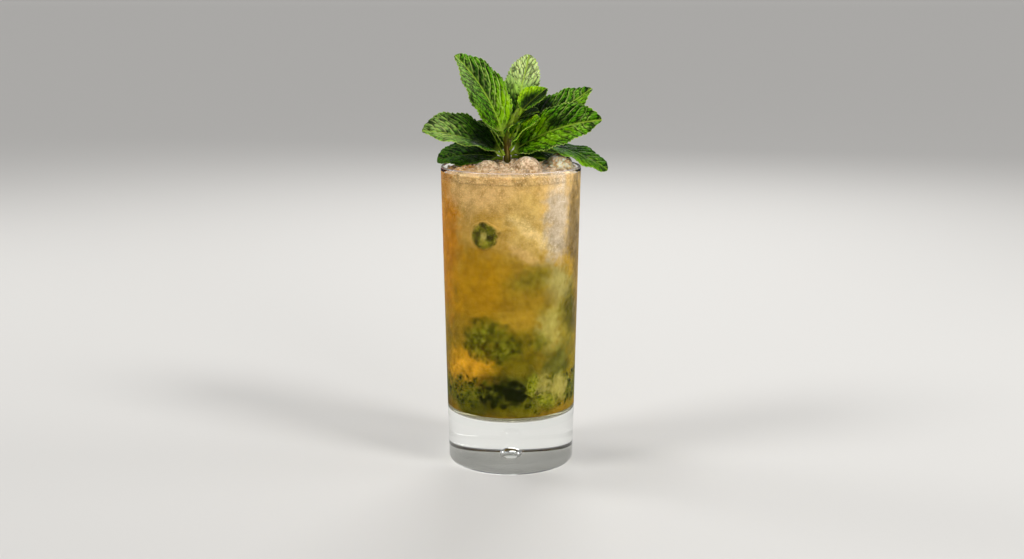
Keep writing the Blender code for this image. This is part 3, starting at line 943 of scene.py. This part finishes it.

# what is painted on a leaf: light coming through, pale highlights on the cells, gleaming veins, shade
# each by share along it, place across, half sizes and strength
leafLooks = {
    "tallLeftLeaf": {
        "pale": ((0.86, 0.6, 0.3, 0.5, 0.3),),
        "through": ((0.28, -0.7, 0.2, 0.55, 1.0), (0.12, -0.2, 0.1, 0.6, 0.7), (0.36, 1.0, 0.2, 0.3, 0.4)),
        "gleam": ((0.62, -0.45, 0.38, 0.5, 1.0), (0.6, -0.45, 0.3, 0.3, 0.4)),
        "shade": ((0.66, -0.2, 0.25, 0.3, 0.6),),
    },
    "leftUpperLeaf": {
        "cells": 0.8,
        "pale": ((0.84, 0.0, 0.22, 1.0, 0.4),),
        "gleam": ((0.72, -0.2, 0.25, 1.0, 0.8),),
        "shade": ((0.28, -0.4, 0.28, 1.0, 0.85), (0.3, 0.5, 0.25, 0.5, 0.5)),
    },
    "leftLowLeaf": {"shade": ((0.35, 0.0, 0.5, 1.5, 0.55),), "gleam": ((0.85, -0.5, 0.2, 0.5, 0.5),)},
    "topBackLeaf": {
        "cells": 0.6,
        "through": ((0.52, 0.15, 0.12, 0.5, 1.0),),
        "pale": ((0.84, -0.2, 0.3, 1.4, 1.0), (0.84, 0.0, 0.2, 1.0, 0.6)),
        "gleam": ((0.62, 0.7, 0.2, 0.4, 0.6),),
        "shade": ((0.4, 0.8, 0.2, 0.4, 0.5),),
    },
    "youngBrightLeaf": {
        "through": ((0.75, 0.8, 0.4, 0.45, 1.0), (0.5, 0.95, 0.3, 0.3, 0.8)),
        "shade": ((0.42, 0.0, 0.35, 0.6, 1.0), (0.8, -0.6, 0.3, 0.5, 0.9)),
    },
    "rightUpperLeaf": {
        "through": ((0.85, -0.5, 0.14, 0.4, 0.5),),
        "gleam": ((0.72, 0.4, 0.2, 0.6, 0.9),),
        "shade": ((0.4, 0.5, 0.24, 1.1, 1.0),),
    },
    "rightFrontLeaf": {
        "through": ((0.55, -0.45, 0.3, 0.4, 0.6), (0.38, 0.4, 0.1, 0.4, 0.9)),
        "gleam": ((0.84, -0.1, 0.13, 0.5, 1.0), (0.7, 0.65, 0.14, 0.4, 0.7)),
        "shade": ((0.56, 0.28, 0.16, 0.32, 0.75), (0.18, 0.1, 0.14, 0.9, 0.4)),
    },
    "rightLowLeaf": {
        "through": ((0.75, -0.95, 0.25, 0.25, 0.7),),
        "gleam": ((0.8, 0.1, 0.2, 0.5, 0.7),),
        "shade": ((0.55, 0.3, 0.25, 0.8, 0.6),),
    },
    "youngLowLeaf": {"through": ((0.66, 0.85, 0.3, 0.5, 1.0),), "shade": ((0.35, 0.0, 0.2, 0.6, 0.5),)},
    "youngRightLeaf": {"shade": ((0.5, 0.0, 0.8, 2.0, 1.0),)},
    "backUnderLeaf": {"shade": ((0.5, 0.0, 0.7, 1.5, 0.6),)},
    "rightUnderLeaf": {"shade": ((0.5, -0.2, 0.6, 1.5, 0.7),)},
    "backLowLeaf": {"shade": ((0.3, 0.0, 0.4, 1.5, 0.5),), "gleam": ((0.7, 0.3, 0.3, 0.6, 0.6),)},
    "backMidLeaf": {"through": ((0.4, 0.4, 0.3, 0.5, 0.8),), "gleam": ((0.7, -0.3, 0.3, 0.6, 0.8),)},
    "backRightLeaf": {"pale": ((0.8, 0.0, 0.3, 0.9, 0.5),), "gleam": ((0.5, 0.2, 0.3, 0.7, 0.6),)},
}

blade = {
    "cell": 0.27 * mm,  # size of the mesh on a leaf
    "swell": 0.62,
    "taper": 0.62,
    "veins": 9.5,  # side veins on each half
    "veinLean": 1.05,  # how far a side vein runs forward for each step out
    "veinArch": 0.045 / mm,
    "blister": 1.9 * mm,
    "relief": 0.95 * mm,
    "groove": 0.5 * mm,
    "toothPitch": 2.1 * mm,
    "toothDepth": 0.9 * mm,
    "wave": 0.7 * mm,
    "thickness": 1.3 * mm,  # at the petiole; the blade is a quarter of it
    "bladeShare": 0.26,
    "midribShare": 0.45,
}


def stemCentre(along):
    bent = max(0.0, along - sprigStem["straight"]) / (sprigStem["length"] - sprigStem["straight"])
    return sprigStem["foot"] + np.array((sprigStem["lean"] * bent**2, 0, along))


def stemRadius(along):
    share = max(0.0, along - sprigStem["straight"]) / (sprigStem["length"] - sprigStem["straight"])
    return sprigStem["radius"] + (sprigStem["tipRadius"] - sprigStem["radius"]) * share


def bladePoints(leaf, share, side):  # share runs along the midrib, side from -1 to 1 across the blade
    name, node, height, azimuth, elevation, droop, roll, twist, length, width, fold, cup, finish = leaf
    azimuth, elevation, droop, fold = np.radians((azimuth, elevation, droop, fold))
    roll = np.radians(roll + twist * (share - 0.5))
    length, width = length * mm, width * mm
    outward = np.array((math.cos(azimuth), math.sin(azimuth), 0))
    across = np.array((-math.sin(azimuth), math.cos(azimuth), 0))
    up = np.array((0, 0, 1))
    footAlong = height * mm - sprigStem["foot"][2]
    foot = stemCentre(footAlong) + outward * (stemRadius(footAlong) + 0.8 * mm)
    heading = elevation - droop * share
    bend = droop / length
    reach = (math.sin(elevation) - np.sin(heading)) / bend
    rise = (np.cos(heading) - math.cos(elevation)) / bend
    middle = foot + reach[:, None] * outward + rise[:, None] * up
    tangent = np.cos(heading)[:, None] * outward + np.sin(heading)[:, None] * up
    normal = np.cross(tangent, across)
    sideways = across * np.cos(roll)[:, None] + normal * np.sin(roll)[:, None]
    out = normal * np.cos(roll)[:, None] - across * np.sin(roll)[:, None]
    bladeShare = np.clip((length * share - petiole["length"]) / (length - petiole["length"]), 0, 1)
    swell, taper = blade["swell"], blade["taper"]
    widest = swell / (swell + taper)
    half = width / 2 * bladeShare**swell * (1 - bladeShare) ** taper / (widest**swell * (1 - widest) ** taper)
    toothShare = (length * share / blade["toothPitch"]) % 1
    tooth = blade["toothDepth"] * (1 - toothShare) ** 1.3 * np.clip((np.abs(side) - 0.75) / 0.25, 0, 1)
    half = np.maximum(half - tooth * np.clip(half / (3 * mm), 0, 1), petiole["halfWidth"] * (1 - 0.5 * share))
    offset = side * half
    lift = np.abs(offset) * math.sin(fold) - cup * offset**2 / (width / 2)
    place = middle + sideways * (offset * math.cos(fold))[:, None] + out * lift[:, None]
    return place, out, offset, half, bladeShare


def leafRelief(leaf, share, offset, half, bladeShare, dice):  # puckered between side veins, grooved along the midrib
    length = leaf[8] * mm
    along, distance = length * share, np.abs(offset)
    outShare = distance / np.maximum(half, 1e-6)
    pitch = max(length / blade["veins"], 2.4 * mm)
    phase = np.where(offset > 0, 0.5, 0.0) + dice.uniform(0, 1)
    flat = np.stack([along, offset, np.full_like(along, dice.uniform(0, 1))], axis=1)
    warp = drift(flat, 4.2 * mm)
    veins = (along - distance * blade["veinLean"] - distance**2 * blade["veinArch"]) / pitch + phase + 0.3 * warp
    ridge = np.abs(np.sin(math.pi * veins)) ** 0.7
    run = distance / blade["blister"] * math.hypot(1, blade["veinLean"]) + 0.4 * warp

    dense = leafLooks.get(leaf[0], {}).get("cells", 1.0)
    spots = [Vector((v * 2.5 * dense, r * 1.25 * dense, 7.0 * (o > 0))) for v, r, o in zip(veins, run, offset)]
    found = [noise.voronoi(spot) for spot in spots]
    nearest = np.array([distances[0] for distances, _ in found])
    edges = np.array([distances[1] - distances[0] for distances, _ in found])
    cellLight = np.array([math.sin(40 * seeds[0].x + 70 * seeds[0].y) for _, seeds in found]) / 2 + 0.5
    pucker = np.clip(edges / 0.32, 0, 1) ** 0.55

    full = np.clip(half / (4 * mm), 0.3, 1) * np.clip(bladeShare * 6, 0, 1) * np.clip(pitch / (4 * mm), 0.5, 1)
    inner = 1 - 0.65 * np.clip((outShare - 0.8) / 0.2, 0, 1)
    relief = blade["relief"] * (0.5 * ridge + 0.5 * pucker * (0.3 + 0.7 * ridge)) * full * inner
    relief *= np.clip(distance / (1.2 * mm), 0.1, 1)
    groove = blade["groove"] * (hump(distance, 1.0 * mm) - 0.8 * hump(distance, 0.4 * mm)) * full
    wave = blade["wave"] * np.sin(along / (1.9 * mm) + phase * 6) * outShare**4 * full
    fromVein = (veins + 0.5) % 1 - 0.5
    broken = np.clip(1 + 0.9 * drift(flat, 6 * mm, 3), 0, 1)
    # net and vein mark where shade is painted into the sunken veins; bead and crest mark painted highlights on the
    # cells and along the vein ridges
    values = {
        "ridge": ridge * full,
        "pucker": pucker,
        "net": ease(1.05 - edges / 0.25),
        "cell": cellLight,
        "bead": hump(nearest, 0.3) * cellLight * inner * full,
        "vein": hump(fromVein * pitch, 0.36 * mm) * inner,
        "crest": hump((fromVein - 0.2) * pitch, 0.38 * mm) * inner * ease(outShare * 6) * broken,
        "midVein": np.maximum(hump(distance, 0.5 * mm), 1 - np.clip(bladeShare * 12, 0, 1)),
    }
    return relief - groove + wave, values


def leafLook(name, kind, share, side):
    look = np.zeros_like(share)
    for along, across, halfLong, halfWide, strength in leafLooks.get(name, {}).get(kind, ()):
        look += strength * hump(share - along, halfLong) * hump(side - across, halfWide)
    return np.clip(look, 0, 1)


def makeLeaf(leaf, dice):
    name, node = leaf[:2]
    length, width, finish = leaf[8] * mm, leaf[9] * mm, leaf[12]
    piece = newShape(bpy.ops.mesh.primitive_grid_add, x_subdivisions=int(length / blade["cell"]),
                     y_subdivisions=2 * int(width / 2 / blade["cell"]), size=2)
    flat = meshPlaces(piece)
    share, side = (flat[:, 0] + 1) / 2, flat[:, 1]
    place, out, offset, half, bladeShare = bladePoints(leaf, share, side)
    relief, values = leafRelief(leaf, share, offset, half, bladeShare, dice)
    movePlaces(piece, place + out * relief[:, None])
    # painted highlight: a pale line along the serrated margin
    values["rim"] = np.clip(1 - (1 - np.abs(side)) * half / (0.45 * mm), 0, 1) * ease((half - 1.2 * mm) / (2 * mm))
    for kind in ("through", "pale", "gleam", "shade"):
        values[kind] = leafLook(name, kind, share, side)
    for label, numbers in values.items():
        storeValues(piece, label, numbers)
    ribs = piece.vertex_groups.new(name="ribs")
    thin = blade["bladeShare"]
    stoutness = thin + blade["midribShare"] * hump(offset, 0.9 * mm) * (1 - 0.8 * share)
    stoutness = np.maximum(stoutness, 1 - np.clip(bladeShare * 10, 0, 1))
    for level in range(round(thin * 100), 101):
        chosen = np.nonzero(np.round(stoutness * 100) == level)[0]
        if len(chosen):
            ribs.add(chosen.tolist(), level / 100, "REPLACE")
    thicken(piece, blade["thickness"], 0, "ribs")
    settle(piece, name, mintFinishes[finish], "mint_leaf", node)


mintTones = {  # painted shade in the valleys, painted light on the puckers, painted sheen along the ridges, midrib, painted light coming through, how much light passes
    # the deep finish is a darker copy of the same leaf, painted shade for the leaves low on the sprig and underneath
    "deep": (tone(8, 32, 0), tone(64, 120, 2), tone(150, 184, 62), tone(122, 148, 34), tone(118, 170, 2), 0.25),
    "mid": (tone(9, 36, 0), tone(86, 154, 3), tone(198, 222, 108), tone(170, 200, 64), tone(154, 210, 0), 0.3),
    "young": (tone(28, 76, 0), tone(120, 188, 4), tone(200, 230, 90), tone(160, 192, 44), tone(176, 224, 0), 0.4),
}


def mintLeafFinish(kind):
    deep, lit, sheen, rib, through, thin = mintTones[kind]
    pale = tuple(0.85 * value + 0.19 for value in sheen[:3]) + (1,)
    glint = tuple(0.85 * value + white for value, white in zip(sheen, (0.14, 0.14, 0.07))) + (1,)
    material, shader = newMaterial("mintLeaf" + kind.capitalize())
    place = objectPlace(shader)
    patches, fine = noiseAt(place, 150, 4), noiseAt(place, 900, 3)
    labels = "ridge pucker net cell bead vein crest midVein rim through pale gleam shade"
    read = {label: storedValue(shader, label) for label in labels.split()}

    height = plusOf(timesOf(read["ridge"], 0.55), timesOf(read["pucker"], 0.45))
    height = timesOf(height, spread(patches, 0.3, 0.7, 0.75, 1.1))
    height = plusOf(height, spread(fine, 0.3, 0.7, -0.12, 0.12))
    height = plusOf(height, spread(read["cell"], 0.1, 0.9, -0.12, 0.16))
    # painted light and shade: puckers and ridges take the lit tone, valleys the deep one
    body = blendOf(spread(height, 0.3, 1.0), deep, lit)
    body = blendOf(timesOf(read["through"], spread(height, 0.1, 0.8, 0.25, 1.0)), body, through)
    # painted highlights: sheen-coloured beads where light comes through
    body = blendOf(timesOf(read["through"], timesOf(read["bead"], 0.7)), body, sheen)
    # painted highlight: pale cells where the leaf faces the light
    body = blendOf(timesOf(read["pale"], spread(height, 0.1, 0.6, 0.15, 1.0)), body, pale)

    # painted shade: the sunken veins and their net are drawn in the deep tone
    lines = mathOf("MAXIMUM", timesOf(read["net"], 0.85), timesOf(read["vein"], 0.7))
    body = blendOf(timesOf(lines, spread(read["through"], 0.1, 0.8, 1.0, 0.4)), body, deep)
    body = blendOf(spread(read["shade"], 0.02, 0.85, 0.0, 0.94), body, tone(2, 14, 0))

    lightShare = spread(read["shade"], 0.05, 0.85, 1.0, 0.1)
    gleam = timesOf(plusOf(timesOf(read["gleam"], 0.92), 0.08), lightShare)
    # painted highlight lines along the vein ridges
    body = blendOf(timesOf(read["crest"], gleam), body, glint)
    bright = plusOf(mathOf("MAXIMUM", gleam, read["pale"]), timesOf(lightShare, 0.1))
    # painted highlights: a pale bead in each cell
    body = blendOf(timesOf(read["bead"], bright), body, sheen)
    body = blendOf(timesOf(read["midVein"], spread(read["shade"], 0.1, 0.9, 0.9, 0.25)), body, rib)
    # painted highlight along the margin, less where the leaf is shaded
    body = blendOf(timesOf(timesOf(read["rim"], lightShare), spread(patches, 0.3, 0.6, 0.2, 0.8)), body, sheen)

    roughness = spread(noiseAt(place, 600, 2), 0.3, 0.7, 0.28, 0.45)
    setInputs(shader, {"Base Color": body, "Roughness": roughness, "Specular IOR Level": 0.05})
    softInside(shader, thin, (0.5, 1.0, 0.1), 0.4 * mm)
    bumpInto(shader, fine, 0.35, 0.25 * mm)
    return material


def makeStem():
    knots = [leaf[2] * mm - sprigStem["foot"][2] for leaf in leaves]
    knotsFrom, knotsOver = sprigStem["knotsFrom"]
    stem = newShape(bpy.ops.mesh.primitive_cylinder_add, vertices=sprigStem["sides"], radius=1, depth=1,
                    end_fill_type="NGON")
    bpy.ops.object.mode_set(mode="EDIT")
    for cut in range(1, sprigStem["steps"]):
        bpy.ops.mesh.select_all(action="SELECT")
        bpy.ops.mesh.bisect(plane_co=(0, 0, cut / sprigStem["steps"] - 0.5), plane_no=(0, 0, 1))
    bpy.ops.object.mode_set(mode="OBJECT")
    for vert in stem.data.vertices:
        along = (vert.co.z + 0.5) * sprigStem["length"]
        angle = math.atan2(vert.co.y, vert.co.x)
        swollen = min(sum(hump(along - knot, sprigStem["knotHalf"]) for knot in knots), 1.2)
        radius = stemRadius(along) * (1 + sprigStem["corner"] * math.cos(4 * angle))
        radius += sprigStem["knot"] * swollen * min(max((along - knotsFrom) / knotsOver, 0.2), 1)
        centre = stemCentre(along)
        vert.co = (centre[0] + radius * math.cos(angle), centre[1] + radius * math.sin(angle), centre[2])
    smoothShade(stem, 50)
    settle(stem, "mintStem", stalk(), "mint_stem", "mint_stem")


def stalk():
    material, shader = newMaterial("mintStalk")
    place = objectPlace(shader)
    axes = addNode(shader, "ShaderNodeSeparateXYZ", {"Vector": place})
    long = addNode(shader, "ShaderNodeMapping", {"Vector": place, "Scale": (1, 1, 0.12)})
    streaks = noiseAt(long.outputs["Vector"], 1300, 4)
    height = plusOf(axes.outputs["Z"], timesOf(streaks, 0.008))
    body = rampOf(spread(height, *sprigStem["greening"]), (0.0, tone(112, 108, 26)), (0.35, tone(146, 116, 44)),
                  (0.62, tone(126, 146, 26)), (1.0, tone(146, 172, 36)))
    body = blendOf(spread(streaks, 0.4, 0.6, 0.5, 0.0), body, tone(48, 46, 10))
    setInputs(shader, {"Base Color": body, "Roughness": 0.4, "Specular IOR Level": 0.35})
    softInside(shader, 0.2, (0.7, 1.0, 0.2), 0.5 * mm)
    bumpInto(shader, streaks, 0.4, 0.3 * mm)
    return material


mintFinishes = {kind: mintLeafFinish(kind) for kind in mintTones}
leafDice = random.Random(3)
for leaf in leaves:
    makeLeaf(leaf, leafDice)
makeStem()
print("mint ready")

gridShare, gridSide = [a.ravel() for a in np.meshgrid(np.linspace(0, 1, 25), np.linspace(-1, 1, 9))]
leafPoints = np.concatenate([bladePoints(leaf, gridShare, gridSide)[0] for leaf in leaves])
makeIceHeap(leafPoints)
print("ice heap ready")
